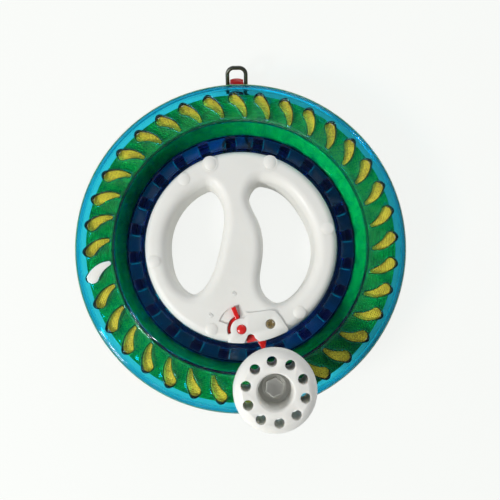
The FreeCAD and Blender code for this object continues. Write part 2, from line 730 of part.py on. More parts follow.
def rounded_path(corners):
    """A wire of straight runs and tangent arcs through corners, each with its own radius."""
    edges = []
    start = corners[0][0]
    for (before, _), (corner, radius), (after, _) in zip(corners, corners[1:], corners[2:]):
        back = (before - corner).normalize()
        ahead = (after - corner).normalize()
        half = back.getAngle(ahead) / 2
        cut = radius / math.tan(half)
        middle = (back + ahead).normalize() * (radius / math.sin(half) - radius)
        a, b = corner + back * cut, corner + ahead * cut
        edges.append(line(start, a))
        edges.append(arc(a, corner + middle, b))
        start = b
    edges.append(line(start, corners[-1][0]))
    return Part.Wire(edges)


def swept(path, radius):
    """A round rod of that radius along a path."""
    first = path.Edges[0]
    at = first.valueAt(first.FirstParameter)
    along = first.tangentAt(first.FirstParameter)
    circle = Part.Wire(Part.makeCircle(radius, at, along))
    return path.makePipeShell([circle], True, False)


def guide_wire():
    rod = swept(rounded_path(guide_points()), WIRE_RADIUS)
    for clock in GUIDE_CLOCKS:
        at = polar(PIN_CIRCLE, clock)
        rod = rod.fuse(Part.makeTorus(EYE_RADIUS, WIRE_RADIUS, V(at.x, at.y, WIRE_Z)))
    return rod.cut(roller_pin())


def guide_groove():
    """Grooves in the rear shell where the two legs of the wire leave their eyes."""
    grooves = []
    for side in (1, -1):
        eye = polar(PIN_CIRCLE, GUIDE_CLOCKS[0])
        a = V(side * eye.x, eye.y + EYE_RADIUS, 0)
        b = V(GUIDE_X + side * LOOP_HALF_WIDTH, 70.0, 0)
        along = (b - a).normalize()
        across = V(-along.y, along.x, 0) * (WIRE_RADIUS + 0.15)
        end = a + along * 12
        start = a - along * 1.0
        points = [start - across, end - across, end + across, start + across]
        face = Part.Face(Part.makePolygon(points + points[:1]))
        face.translate(V(0, 0, -1))
        grooves.append(face.extrude(V(0, 0, EYE_FLOOR + 1)))
    return grooves[0].fuse(grooves[1])


def roller_centre():
    rise = (ROLLER_Y - LOOP_FOOT_Y) * math.tan(math.radians(LOOP_LEAN))
    return V(GUIDE_X, ROLLER_Y, WIRE_Z + rise)


def roller_pin():
    c = roller_centre()
    reach = LOOP_HALF_WIDTH - WIRE_RADIUS * 0.8
    return Part.makeCylinder(0.9, 2 * reach, V(c.x - reach, c.y, c.z), V(1, 0, 0))


def guide_roller():
    """Crowned roller between the legs of the guide."""
    c = roller_centre()
    half, bore, end, crown = 4.4, 1.0, 2.8, 3.6
    edges = [
        line(V(-half, bore, 0), V(-half, end, 0)),
        arc(V(-half, end, 0), V(0, crown, 0), V(half, end, 0)),
        line(V(half, end, 0), V(half, bore, 0)),
        line(V(half, bore, 0), V(-half, bore, 0)),
    ]
    roller = Part.Face(Part.Wire(edges)).revolve(V(0, 0, 0), V(1, 0, 0), 360)
    roller.translate(c)
    return roller


def bearing_outer(at):
    low, high = MID_Z - BEARING_WIDTH / 2, MID_Z + BEARING_WIDTH / 2
    return ring(at, BEARING_RADIUS - 1.2, BEARING_RADIUS, low, high)


def bearing_core(at):
    """Inner ring with its two shields, shown as one piece because the shields hide the balls."""
    low, high = MID_Z - BEARING_WIDTH / 2, MID_Z + BEARING_WIDTH / 2
    inner = ring(at, BEARING_BORE, BEARING_BORE + 1.3, low, high)
    return inner.fuse(ring(at, BEARING_BORE + 1.0, BEARING_RADIUS - 1.26, low + 0.3, high - 0.3))


def save(name, shape):
    shape.exportStep(os.path.join("parts", name + ".step"))
    print(name, "valid" if shape.isValid() else "INVALID", "solids", len(shape.Solids),
          "volume", round(shape.Volume, 1))


def main():
    os.makedirs("parts", exist_ok=True)
    blank = grip_blank()
    save("grip_front_shell", grip_front(blank))
    save("grip_rear_shell", grip_rear(blank))
    save("grip_screws", Part.makeCompound([grip_screw(at, SCREW_HEAD_FLOOR) for at in plain_screw_places()]))
    head_seat = WIRE_Z - WIRE_RADIUS - 0.03
    save("guide_screws", Part.makeCompound([grip_screw(at, head_seat) for at in guide_screw_places()]))
    for number, at in enumerate(bearing_places(), 1):
        save(f"bearing_{number}_outer_ring", bearing_outer(at))
    save("bearing_cores", Part.makeCompound([bearing_core(at) for at in bearing_places()]))
    save("spool_front_half", spool_front())
    save("spool_rear_half", spool_rear())
    save("line_winding", line_pack())
    save("window_plug", window_plug())
    axis = knob_axis()
    under = MID_Z + FLANGE_UNDER
    save("knob_threaded_insert", ring(axis, BOLT_RADIUS, INSERT_RADIUS, under, BOSS_TOP_Z))
    save("knob_sleeve", ring(axis, BOLT_RADIUS + 0.02, SLEEVE_RADIUS, BOSS_TOP_Z, WASHER_Z))
    save("knob_washer", ring(axis, BOLT_RADIUS + 0.2, WASHER_RADIUS, WASHER_Z, WASHER_Z + WASHER_THICK))
    save("knob_bolt", knob_bolt())
    save("winding_knob", winding_knob())
    save("lock_cover", lock_cover())
    cover_screw = cylinder(COVER_SCREW, SCREW_HEAD_RADIUS - 0.2, COVER_TOP_Z - 1.9, COVER_TOP_Z - 0.4)
    cover_screw = cover_screw.fuse(cylinder(COVER_SCREW, SCREW_RADIUS, MID_Z + 2, COVER_TOP_Z - 1.9))
    save("lock_cover_screw", cover_screw.cut(cross_recess(COVER_SCREW, COVER_TOP_Z - 0.4, 0.8)))
    save("lock_lever", lock_lever())
    save("lock_bolt", lock_bolt())
    save("guide_wire", guide_wire())
    save("guide_roller_pin", roller_pin())
    save("guide_roller", guide_roller())


main()
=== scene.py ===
# %% [markdown]
# # A kite line winder
#
# The winder is a flat wheel. A spool of clear blue plastic, wound with yellow line, turns on ball
# bearings round a white hand grip with two finger openings. A drilled knob turns the spool, a red lever
# pushes a bolt between the spool's ribs to lock it, and the line leaves over a red roller in a wire loop.
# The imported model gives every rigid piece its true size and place. This script loads it first, so all
# that follows is looks: fine forms, materials, light and the camera.

# %% Load the frame
import json
import math

import bpy
from mathutils import Matrix, Vector


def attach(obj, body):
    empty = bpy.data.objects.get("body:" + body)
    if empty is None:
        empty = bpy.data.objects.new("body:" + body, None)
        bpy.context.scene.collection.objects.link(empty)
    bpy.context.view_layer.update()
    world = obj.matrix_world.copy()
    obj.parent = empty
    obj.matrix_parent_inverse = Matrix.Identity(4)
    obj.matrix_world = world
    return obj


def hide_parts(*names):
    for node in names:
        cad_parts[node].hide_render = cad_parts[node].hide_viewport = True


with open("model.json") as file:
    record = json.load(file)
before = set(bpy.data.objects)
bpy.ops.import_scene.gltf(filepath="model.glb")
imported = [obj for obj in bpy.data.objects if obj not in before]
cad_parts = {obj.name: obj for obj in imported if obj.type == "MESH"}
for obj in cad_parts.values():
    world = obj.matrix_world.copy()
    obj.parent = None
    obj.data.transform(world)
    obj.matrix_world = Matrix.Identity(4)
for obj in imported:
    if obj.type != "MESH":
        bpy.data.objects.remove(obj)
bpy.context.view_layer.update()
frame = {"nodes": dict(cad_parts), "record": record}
nodes = frame["nodes"]
MM = 0.001
MID_Z = 21.0
print("nodes", len(nodes))

# %% [markdown]
# ## Camera
#
# The photograph looks down on the winder's front from about a third of a metre, a little from the grip's
# lower side. Place, turn and lens come from fitting the circles of rim, grip and screw bosses to the
# picture. The three directions are the camera's right, up and back. Light that crosses both halves of the
# spool meets more than twenty surfaces, so the light paths may be long.

# %% Set the camera
CAMERA_PLACE = Vector((3.21, -32.49, 348.74)) * MM
CAMERA_RIGHT = Vector((0.99986, -0.01584, 0.00569))
CAMERA_UP = Vector((0.01525, 0.99564, 0.09201))
CAMERA_BACK = Vector((-0.00712, -0.09191, 0.99574))
SENSOR = 36.0
FOCAL_PIXELS = 520.0
PHOTO_PIXELS = 500.0
LIGHT_PATHS = 32

bpy.ops.object.camera_add()
camera = bpy.context.object
turn = Matrix((CAMERA_RIGHT, CAMERA_UP, CAMERA_BACK)).transposed()
camera.matrix_world = Matrix.Translation(CAMERA_PLACE) @ turn.to_4x4()
camera.data.sensor_width = SENSOR
camera.data.lens = SENSOR * FOCAL_PIXELS / PHOTO_PIXELS
camera.data.clip_start = 0.01
bpy.context.scene.camera = camera
for limit in ("max_bounces", "transmission_bounces", "transparent_max_bounces"):
    setattr(bpy.context.scene.cycles, limit, LIGHT_PATHS)
print("lens", round(camera.data.lens, 2), "mm")

# %% [markdown]
# ## Stage
#
# The winder lies on a plain white ground. The ground takes a little shadow from the lamps, and shows the
# camera an even near-white, as the photograph does. A lamp low at the lower left gives the white plastic
# its shading and the edges their glints. A larger, weaker one beyond the line guide keeps the dark sides
# open. Light that has passed the clear plastic counts as both mirrored and transmitted, so the ground's
# glow has a negative share there, which takes back what the mirrored share adds.

# %% Lay the ground
GROUND_SIZE = 6.0
GROUND_DROP = 0.25 * MM
PAPER_COLOUR = (0.93, 0.94, 0.93, 1)
GLOW_COLOUR = (0.955, 0.973, 0.947, 1)
GLOW_SHARES = {"Is Camera Ray": 0.87, "Is Glossy Ray": 0.5, "Is Transmission Ray": -0.5}

bpy.ops.mesh.primitive_plane_add(size=GROUND_SIZE, location=(0, 0, -GROUND_DROP))
ground = bpy.context.object
ground.name = "ground"


def new_material(name):
    """An empty node material: its tree, its output node and a function that adds nodes."""
    material = bpy.data.materials.new(name)
    material.use_nodes = True
    tree = material.node_tree
    tree.nodes.clear()
    output = tree.nodes.new("ShaderNodeOutputMaterial")
    return material, tree, output


def ground_material():
    material, tree, output = new_material("ground_paper")
    add, link = tree.nodes.new, tree.links.new
    paper = add("ShaderNodeBsdfDiffuse")
    paper.inputs["Color"].default_value = PAPER_COLOUR
    glow = add("ShaderNodeEmission")
    glow.inputs["Color"].default_value = GLOW_COLOUR
    path = add("ShaderNodeLightPath")
    share = None
    for ray, weight in GLOW_SHARES.items():
        part = add("ShaderNodeMath")
        part.operation = "MULTIPLY_ADD"
        part.inputs[1].default_value = weight
        link(path.outputs[ray], part.inputs[0])
        part.inputs[2].default_value = 0.0
        if share:
            link(share.outputs[0], part.inputs[2])
        share = part
    blend = add("ShaderNodeMixShader")
    link(share.outputs[0], blend.inputs["Fac"])
    link(paper.outputs[0], blend.inputs[1])
    link(glow.outputs[0], blend.inputs[2])
    link(blend.outputs[0], output.inputs["Surface"])
    return material


ground.data.materials.append(ground_material())
print("ground", GROUND_SIZE, "m wide,", len(GLOW_SHARES), "shares of glow")

# %% Light it
KEY_PLACE = Vector((-0.8, -0.5, 0.75))
FILL_PLACE = Vector((0.2, 0.9, 0.5))


def soft_lamp(name, place, size, power, tint):
    """A square area lamp aimed at the winder's middle."""
    bpy.ops.object.light_add(type="AREA", location=place)
    lamp = bpy.context.object
    lamp.name = name
    lamp.data.size = size
    lamp.data.energy = power
    lamp.data.color = tint
    aim = Vector((0, 0, 0.02)) - place
    lamp.rotation_euler = aim.to_track_quat("-Z", "Y").to_euler()
    return lamp


soft_lamp("key_lamp", KEY_PLACE, 0.25, 10.5, (1.0, 0.99, 0.97))
soft_lamp("fill_lamp", FILL_PLACE, 0.6, 3.0, (0.96, 0.98, 1.0))

ROOM_LEVEL = 0.40
MIRRORED_ZENITH = 0.05
ZENITH_FROM, ZENITH_TO = 0.84, 0.94
SEEN_LEVEL = 0.94


def pale_room():
    """A pale room, which shows the dark camera side to reflections that look straight up."""
    world = bpy.data.worlds.new("pale_room")
    world.use_nodes = True
    tree = world.node_tree
    add, link = tree.nodes.new, tree.links.new
    where = add("ShaderNodeTexCoord")
    split = add("ShaderNodeSeparateXYZ")
    link(where.outputs["Generated"], split.inputs[0])
    height = add("ShaderNodeMapRange")
    height.interpolation_type = "SMOOTHSTEP"
    height.inputs["From Min"].default_value = ZENITH_FROM
    height.inputs["From Max"].default_value = ZENITH_TO
    height.inputs["To Min"].default_value = ROOM_LEVEL
    height.inputs["To Max"].default_value = MIRRORED_ZENITH
    link(split.outputs["Z"], height.inputs["Value"])
    path = add("ShaderNodeLightPath")
    level = add("ShaderNodeMix")
    level.inputs["A"].default_value = ROOM_LEVEL
    link(path.outputs["Is Glossy Ray"], level.inputs["Factor"])
    link(height.outputs["Result"], level.inputs["B"])
    seen = add("ShaderNodeMix")
    seen.inputs["B"].default_value = SEEN_LEVEL
    link(path.outputs["Is Camera Ray"], seen.inputs["Factor"])
    link(level.outputs["Result"], seen.inputs["A"])
    background = tree.nodes["Background"]
    background.inputs["Color"].default_value = (0.97, 0.98, 1.0, 1)
    link(seen.outputs["Result"], background.inputs["Strength"])
    return world


bpy.context.scene.world = pale_room()
bpy.context.scene.view_settings.view_transform = "Standard"
print("two lamps and a pale room at level", ROOM_LEVEL)

# %% [markdown]
# ## Shared surface effects
#
# Two effects return in almost every material. Moulded plastic has a faint grain and long soft waves, and
# anything that is handled is shinier in some places than others. Each is a node group, made once, with
# its own numbers in every material.

# %% Group: moulded grain
def group_with(name, inputs, outputs):
    """A new shader group with (name, type, value) inputs and (name, type) outputs."""
    tree = bpy.data.node_groups.new(name, "ShaderNodeTree")
    for label, kind, value in inputs:
        socket = tree.interface.new_socket(name=label, in_out="INPUT", socket_type=kind)
        if value is not None:
            socket.default_value = value
    for label, kind in outputs:
        tree.interface.new_socket(name=label, in_out="OUTPUT", socket_type=kind)
    return tree, tree.nodes.new("NodeGroupInput"), tree.nodes.new("NodeGroupOutput")


def maths_in(tree):
    """A function that adds one maths step to tree, from numbers or sockets, and returns its output."""

    def maths(operation, *values):
        step = tree.nodes.new("ShaderNodeMath")
        step.operation = operation
        for socket, value in zip(step.inputs, values):
            if isinstance(value, (int, float)):
                socket.default_value = value
            else:
                tree.links.new(value, socket)
        return step.outputs[0]

    return maths


def radius_from_axle(tree, where):
    """The distance of each point from the winder's axle, from a texture coordinate node."""
    flat = tree.nodes.new("ShaderNodeVectorMath")
    flat.operation = "MULTIPLY"
    flat.inputs[1].default_value = (1, 1, 0)
    tree.links.new(where.outputs["Object"], flat.inputs[0])
    length = tree.nodes.new("ShaderNodeVectorMath")
    length.operation = "LENGTH"
    tree.links.new(flat.outputs[0], length.inputs[0])
    return length.outputs["Value"]


def make_grain_group():
    tree, given, result = group_with(
        "moulded_grain",
        [("Fine Scale", "NodeSocketFloat", 2500.0), ("Wave Scale", "NodeSocketFloat", 60.0),
         ("Fine Height", "NodeSocketFloat", 0.02), ("Wave Height", "NodeSocketFloat", 0.2)],
        [("Normal", "NodeSocketVector")],
    )
    add, link = tree.nodes.new, tree.links.new
    where = add("ShaderNodeTexCoord")
    fine = add("ShaderNodeTexNoise")
    fine.inputs["Detail"].default_value = 3.0
    wave = add("ShaderNodeTexNoise")
    wave.inputs["Detail"].default_value = 1.0
    for texture, label in ((fine, "Fine Scale"), (wave, "Wave Scale")):
        link(where.outputs["Object"], texture.inputs["Vector"])
        link(given.outputs[label], texture.inputs["Scale"])
    maths = maths_in(tree)
    high = maths("MULTIPLY", wave.outputs["Fac"], given.outputs["Wave Height"])
    both = maths("MULTIPLY_ADD", fine.outputs["Fac"], given.outputs["Fine Height"], high)
    bump = add("ShaderNodeBump")
    bump.inputs["Distance"].default_value = 1.0 * MM
    link(both, bump.inputs["Height"])
    link(bump.outputs["Normal"], result.inputs["Normal"])
    return tree


grain_group = make_grain_group()
print(grain_group.name, len(grain_group.nodes), "steps")


# %% Group: handled shine
def make_shine_group():
    tree, given, result = group_with(
        "handled_shine",
        [("Scale", "NodeSocketFloat", 45.0), ("Smooth", "NodeSocketFloat", 0.3),
         ("Rough", "NodeSocketFloat", 0.5)],
        [("Roughness", "NodeSocketFloat"), ("Mask", "NodeSocketFloat")],
    )
    add, link = tree.nodes.new, tree.links.new
    where = add("ShaderNodeTexCoord")
    patches = add("ShaderNodeTexNoise")
    patches.inputs["Detail"].default_value = 5.0
    patches.inputs["Distortion"].default_value = 0.6
    link(where.outputs["Object"], patches.inputs["Vector"])
    link(given.outputs["Scale"], patches.inputs["Scale"])
    spread = add("ShaderNodeMapRange")
    spread.inputs["From Min"].default_value = 0.3
    spread.inputs["From Max"].default_value = 0.7
    link(patches.outputs["Fac"], spread.inputs["Value"])
    link(given.outputs["Smooth"], spread.inputs["To Min"])
    link(given.outputs["Rough"], spread.inputs["To Max"])
    link(spread.outputs["Result"], result.inputs["Roughness"])
    link(patches.outputs["Fac"], result.inputs["Mask"])
    return tree


shine_group = make_shine_group()
print(shine_group.name, len(shine_group.nodes), "steps")


def add_group(tree, group, **values):
    """Places a group in a material, with values for its inputs (underscores stand for spaces)."""
    node = tree.nodes.new("ShaderNodeGroup")
    node.node_tree = group
    for label, value in values.items():
        node.inputs[label.replace("_", " ")].default_value = value
    return node


# %% [markdown]
# ## Opaque materials
#
# The grip, the knob and the cover are the same white plastic with a satin face. Small parts are glossy
# red plastic, stainless steel, zinc-plated steel and dull brass.

# %% Satin and gloss plastics
def plastic(name, colour, deeper, smooth, rough, coat, grain, tone_scale=35.0):
    """Moulded plastic whose colour drifts a little between two tones."""
    material, tree, output = new_material(name)
    add, link = tree.nodes.new, tree.links.new
    shine = add_group(tree, shine_group, Scale=tone_scale, Smooth=smooth, Rough=rough)
    moulded = add_group(tree, grain_group, Fine_Scale=1800.0, Wave_Scale=70.0, Fine_Height=grain,
                        Wave_Height=0.15)
    tone = add("ShaderNodeMix")
    tone.data_type = "RGBA"
    tone.inputs["A"].default_value = (*deeper, 1)
    tone.inputs["B"].default_value = (*colour, 1)
    link(shine.outputs["Mask"], tone.inputs["Factor"])
    shader = add("ShaderNodeBsdfPrincipled")
    shader.inputs["Coat Weight"].default_value = coat
    shader.inputs["Subsurface Weight"].default_value = 0.35
    shader.inputs["Subsurface Scale"].default_value = 2.5 * MM
    shader.inputs["Subsurface Radius"].default_value = (1.0, 0.9, 0.8)
    shader.inputs["Coat Roughness"].default_value = 0.2
    link(tone.outputs["Result"], shader.inputs["Base Color"])
    link(shine.outputs["Roughness"], shader.inputs["Roughness"])
    link(moulded.outputs["Normal"], shader.inputs["Normal"])
    link(shader.outputs["BSDF"], output.inputs["Surface"])
    return material


white_plastic = plastic("white_plastic", (0.83, 0.83, 0.79), (0.77, 0.77, 0.73), 0.38, 0.55, 0.0, 0.03)
red_plastic = plastic("red_plastic", (0.72, 0.012, 0.010), (0.60, 0.008, 0.008), 0.2, 0.35, 0.3, 0.01)
print(white_plastic.name, red_plastic.name)


# %% Metals
def metal(name, colour, smooth, rough, scale=120.0, metallic=1.0):
    """Bare or plated metal with uneven polish."""
    material, tree, output = new_material(name)
    add, link = tree.nodes.new, tree.links.new
    shine = add_group(tree, shine_group, Scale=scale, Smooth=smooth, Rough=rough)
    dents = add_group(tree, grain_group, Fine_Scale=3500.0, Wave_Scale=300.0, Fine_Height=0.01,
                      Wave_Height=0.05)
    shader = add("ShaderNodeBsdfPrincipled")
    shader.inputs["Base Color"].default_value = (*colour, 1)
    shader.inputs["Metallic"].default_value = metallic
    link(shine.outputs["Roughness"], shader.inputs["Roughness"])
    link(dents.outputs["Normal"], shader.inputs["Normal"])
    link(shader.outputs["BSDF"], output.inputs["Surface"])
    return material


stainless = metal("stainless", (0.78, 0.78, 0.75), 0.3, 0.5, metallic=0.55)
screw_steel = metal("screw_steel", (0.55, 0.56, 0.58), 0.3, 0.5)
bearing_steel = metal("bearing_steel", (0.62, 0.62, 0.63), 0.12, 0.25)
brass = metal("brass", (0.60, 0.47, 0.24), 0.3, 0.5)
dark_wire = metal("dark_wire", (0.085, 0.09, 0.08), 0.3, 0.5)
print([made.name for made in (stainless, screw_steel, bearing_steel, brass, dark_wire)])

# %% [markdown]
# ## Clear blue plastic
#
# The spool is moulded from clear plastic, dyed blue green. Its colour comes from depth: two millimetres
# look pale teal, and the thick rim and the double web look dark. So the surface itself is clear and the
# colour sits in the volume, as an absorption. The lamps have to reach the line behind the flange, so for
# shadow rays the surface lets light straight through, and the volume still colours it. A cut wall in
# such a plate looks almost black, because light that enters it runs on along the plate. That darkness is
# painted shade here: a thin skin of much denser, darker dye lies on those walls, and its shadow on the
# line stands in for the shade that refraction at the real walls casts.

# %% Build the clear plastic
DYE_COLOUR = (0.01, 0.865, 0.94)
DYE_DENSITY = 1700.0
# Painted shade: the dark, dense dye of the skins on the leaf windows' cut walls.
SHADE_SKIN_COLOUR = (0.22, 0.34, 0.46)
SHADE_SKIN_DENSITY = 5200.0


RIDGE_PITCH = 0.9
RIDGE_BANDS = ((76.4, 79.0), (96.9, 99.9))


def make_ridge_group():
    """Fine turned rings inside the given bands of radius, laid over another normal."""
    tree, given, result = group_with(
        "turned_ridges",
        [("Height", "NodeSocketFloat", 0.12), ("Normal", "NodeSocketVector", None)],
        [("Normal", "NodeSocketVector")],
    )
    add, link = tree.nodes.new, tree.links.new

    maths = maths_in(tree)
    radius = radius_from_axle(tree, add("ShaderNodeTexCoord"))
    total = None
    wave = maths("SINE", maths("MULTIPLY", radius, 2 * math.pi / (RIDGE_PITCH * MM)))
    for inner, outer in RIDGE_BANDS:
        inside = maths("MULTIPLY", maths("GREATER_THAN", radius, inner * MM),
                       maths("LESS_THAN", radius, outer * MM))
        band = maths("MULTIPLY", inside, wave)
        total = band if total is None else maths("ADD", total, band)
    bump = add("ShaderNodeBump")
    bump.inputs["Distance"].default_value = 1.0 * MM
    link(maths("MULTIPLY", total, given.outputs["Height"]), bump.inputs["Height"])
    link(given.outputs["Normal"], bump.inputs["Normal"])
    link(bump.outputs["Normal"], result.inputs["Normal"])
    return tree


ridge_group = make_ridge_group()


def clear_plastic(name, dye_colour, dye_density):
    material, tree, output = new_material(name)
    add, link = tree.nodes.new, tree.links.new
    grain = add_group(tree, grain_group, Fine_Scale=900.0, Wave_Scale=90.0, Fine_Height=0.004,
                      Wave_Height=0.025)
    moulded = add_group(tree, ridge_group, Height=0.07)
    link(grain.outputs["Normal"], moulded.inputs["Normal"])
    shader = add("ShaderNodeBsdfPrincipled")
    shader.inputs["Base Color"].default_value = (1, 1, 1, 1)
    shader.inputs["Transmission Weight"].default_value = 1.0
    shader.inputs["Roughness"].default_value = 0.04
    shader.inputs["IOR"].default_value = 1.47
    link(moulded.outputs["Normal"], shader.inputs["Normal"])
    through = add("ShaderNodeBsdfTransparent")
    path = add("ShaderNodeLightPath")
    blend = add("ShaderNodeMixShader")
    link(path.outputs["Is Shadow Ray"], blend.inputs["Fac"])
    link(shader.outputs["BSDF"], blend.inputs[1])
    link(through.outputs[0], blend.inputs[2])
    link(blend.outputs[0], output.inputs["Surface"])
    dye = add("ShaderNodeVolumeAbsorption")
    dye.inputs["Color"].default_value = (*dye_colour, 1)
    dye.inputs["Density"].default_value = dye_density
    link(dye.outputs[0], output.inputs["Volume"])
    return material


clear_blue = clear_plastic("clear_blue", DYE_COLOUR, DYE_DENSITY)
# A second clear plastic, dark and dense, for the skins of painted shade on the cut walls.
painted_shade_skin = clear_plastic("painted_shade_skin", SHADE_SKIN_COLOUR, SHADE_SKIN_DENSITY)
print(clear_blue.name, DYE_DENSITY, painted_shade_skin.name, SHADE_SKIN_DENSITY)


# %% [markdown]
# ## Yellow line
#
# Hundreds of turns of thin twisted line fill the spool. Up close each strand is a row of short slanting
# twists. The pattern follows the piece's own round shape: the material works out the angle and the radius
# from Object coordinates, and draws slanting bands along each turn.

# %% Build the line material
WEAVE_TURNS = 390
WEAVE_SLANT = 2 * math.pi / (1.35 * MM)


def line_material():
    material, tree, output = new_material("yellow_line")
    add, link = tree.nodes.new, tree.links.new

    maths = maths_in(tree)
    where = add("ShaderNodeTexCoord")
    twist = add("ShaderNodeTexNoise")
    twist.inputs["Scale"].default_value = 850.0
    twist.inputs["Detail"].default_value = 3.0
    link(where.outputs["Object"], twist.inputs["Vector"])
    drift = add("ShaderNodeTexNoise")
    drift.inputs["Scale"].default_value = 160.0
    drift.inputs["Detail"].default_value = 4.0
    link(where.outputs["Object"], drift.inputs["Vector"])
    split = add("ShaderNodeSeparateXYZ")
    link(where.outputs["Object"], split.inputs[0])
    around = maths("MULTIPLY", maths("ARCTAN2", split.outputs["Y"], split.outputs["X"]), WEAVE_TURNS)
    radius = radius_from_axle(tree, where)
    across = maths("MULTIPLY", maths("ADD", radius, split.outputs["Z"]), WEAVE_SLANT)
    stray = maths("MULTIPLY", drift.outputs["Fac"], 9.0)
    one_way = maths("SINE", maths("ADD", maths("ADD", around, across), stray))
    other_way = maths("SINE", maths("ADD", maths("SUBTRACT", around, across), stray))
    weave = maths("MULTIPLY_ADD", maths("MAXIMUM", one_way, other_way), 0.42, 0.30)
    tone = maths("MULTIPLY_ADD", maths("ADD", twist.outputs["Fac"], drift.outputs["Fac"]), 0.75, -0.36)
    shade = maths("MULTIPLY_ADD", weave, 0.5, tone)
    ramp = add("ShaderNodeValToRGB")
    ramp.color_ramp.elements[0].position = 0.40
    ramp.color_ramp.elements[0].color = (0.30, 0.245, 0.006, 1)
    ramp.color_ramp.elements[1].position = 0.74
    ramp.color_ramp.elements[1].color = (0.83, 0.75, 0.045, 1)
    link(shade, ramp.inputs["Fac"])
    bump = add("ShaderNodeBump")
    bump.inputs["Distance"].default_value = 0.25 * MM
    link(shade, bump.inputs["Height"])
    shader = add("ShaderNodeBsdfPrincipled")
    shader.inputs["Roughness"].default_value = 0.55
    shader.inputs["Sheen Weight"].default_value = 0.2
    link(ramp.outputs["Color"], shader.inputs["Base Color"])
    link(bump.outputs["Normal"], shader.inputs["Normal"])
    link(shader.outputs["BSDF"], output.inputs["Surface"])
    return material


yellow_line = line_material()
print(yellow_line.name, WEAVE_TURNS, "slants round the pack")

# %% [markdown]
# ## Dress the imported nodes
#
# A node whose solid already has the real shape keeps it, and gets its finish here.

# %% Give each node its material
FINISHES = {
    "white_plastic": white_plastic, "red_plastic": red_plastic, "stainless": stainless,
    "screw_steel": screw_steel, "bearing_steel": bearing_steel, "brass": brass,
    "clear_blue": clear_blue, "yellow_line": yellow_line,
}
SLOT_OF = {part["node"]: part["material_slot"] for part in frame["record"]["subparts"]}

for name, node in nodes.items():
    node.data.materials.clear()
    node.data.materials.append(FINISHES[SLOT_OF[name]])
nodes["guide_wire"].data.materials[0] = dark_wire
print("dressed", len(SLOT_OF), "nodes")

# %% [markdown]
# ## Tools for the pieces
#
# A few helpers are used again and again. They select a single object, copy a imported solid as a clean
# mesh of its own, apply one modifier, and hand a finished piece its material and body. The last rounds
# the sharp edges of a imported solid. Real moulded and machined edges are never razor sharp, and the small
# radius is what catches the light.

# %% Helpers
def pick(piece):
    """Makes piece the only selected and active object."""
    bpy.ops.object.select_all(action="DESELECT")
    piece.select_set(True)
    bpy.context.view_layer.objects.active = piece


def in_edit_mode(piece, *steps):
    """Runs mesh operators on the whole mesh of piece."""
    pick(piece)
    bpy.ops.object.mode_set(mode="EDIT")
    bpy.ops.mesh.select_all(action="SELECT")
    for step in steps:
        step()
    bpy.ops.object.mode_set(mode="OBJECT")


def solid_copy(node_name, piece_name):
    """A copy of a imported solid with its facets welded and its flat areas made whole."""
    piece = bpy.data.objects.new(piece_name, nodes[node_name].data.copy())
    bpy.context.scene.collection.objects.link(piece)
    in_edit_mode(
        piece,
        lambda: bpy.ops.mesh.remove_doubles(threshold=0.002 * MM),
        lambda: bpy.ops.mesh.dissolve_limited(angle_limit=math.radians(0.3)),
        lambda: bpy.ops.mesh.normals_make_consistent(inside=False),
    )
    return piece


def apply_modifier(piece, kind, **settings):
    """Adds one modifier to piece with these settings and applies it."""
    pick(piece)
    modifier = piece.modifiers.new(kind.lower(), kind)
    for name, value in settings.items():
        setattr(modifier, name, value)
    bpy.ops.object.modifier_apply(modifier=modifier.name)


def smooth(piece, degrees=35.0):
    pick(piece)
    bpy.ops.object.shade_smooth_by_angle(angle=math.radians(degrees))


def finish_piece(piece, material, body, slot, *replaced):
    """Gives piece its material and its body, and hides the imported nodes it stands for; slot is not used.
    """
    piece.data.materials.clear()
    piece.data.materials.append(material)
    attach(piece, body)
    if replaced:
        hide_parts(*replaced)
    return piece


def softened(node_name, material, body, slot, radius, segments=2, degrees=32.0):
    """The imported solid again, with its sharp edges rounded."""
    piece = solid_copy(node_name, node_name + "_dressed")
    apply_modifier(piece, "BEVEL", width=radius, segments=segments, limit_method="ANGLE",
                   angle_limit=math.radians(degrees), use_clamp_overlap=True)
    smooth(piece)
    return finish_piece(piece, material, body, slot, node_name)


def material_of(node_name):
    return FINISHES[SLOT_OF[node_name]]


print("tools ready for", len(nodes), "nodes")


# %% [markdown]
# ## Knob, cover and red parts
#
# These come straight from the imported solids. The knob is a drum with ten finger holes, turned and drilled
# in one piece, so its hole mouths get a small round. The cover is a thin moulded plate with a larger
# round. The lever and the bolt are small hard parts with crisp edges.

# %% Round the moulded parts
SOFT_PARTS = {
    "winding_knob": ("knob", 0.45 * MM), "lock_cover": ("grip", 0.45 * MM),
    "lock_lever": ("lever", 0.2 * MM), "lock_bolt": ("bolt", 0.2 * MM),
    "knob_washer": ("spool", 0.2 * MM), "window_plug": ("spool", 0.15 * MM),
}
for node_name, (body, radius) in SOFT_PARTS.items():
    piece = softened(node_name, material_of(node_name), body, SLOT_OF[node_name], radius)
    print(piece.name, len(piece.data.polygons), "faces")

# %% [markdown]
# ## Spool halves
#
# Each half is one moulding with leaf windows all round its flange. A mould's edges are rounded by a few
# tenths of a millimetre, and in clear plastic such a round shows as a bright or dark line. The two
# halves meet in a plane, so each is drawn back from it by a hair.
#
# Two fine rings follow every window. A low rounded lip stands on the flange round it and catches the
# light. A skin of painted shade lies on its cut wall and makes it dark, and reaches a little outward at the
# leaf's crown, where one looks deepest into the plate and sees the shaded gap beyond the line. Both start
# from the window's own edge in the packed solid, which is drawn upward or downward and then thickened.

# %% Round the spool halves
PARTING_GAP = 0.03
FLANGE_FACE = 14.6
LEAF_BAND = (78.4, 95.6)
LIP_START = 0.02
LIP_HEIGHT = 0.45
LIP_THICKNESS = 0.5
# The skin of painted shade on each cut wall, and its widening at the crown over the shaded gap beyond the
# line.
WALL_START = -0.05
WALL_CLEARANCE = 0.03
WALL_HEIGHT = 1.85
WALL_THICKNESS = 0.3
CROWN_START = 92.0
CROWN_SLOPE = 3.0
CROWN_REACH = 1.3


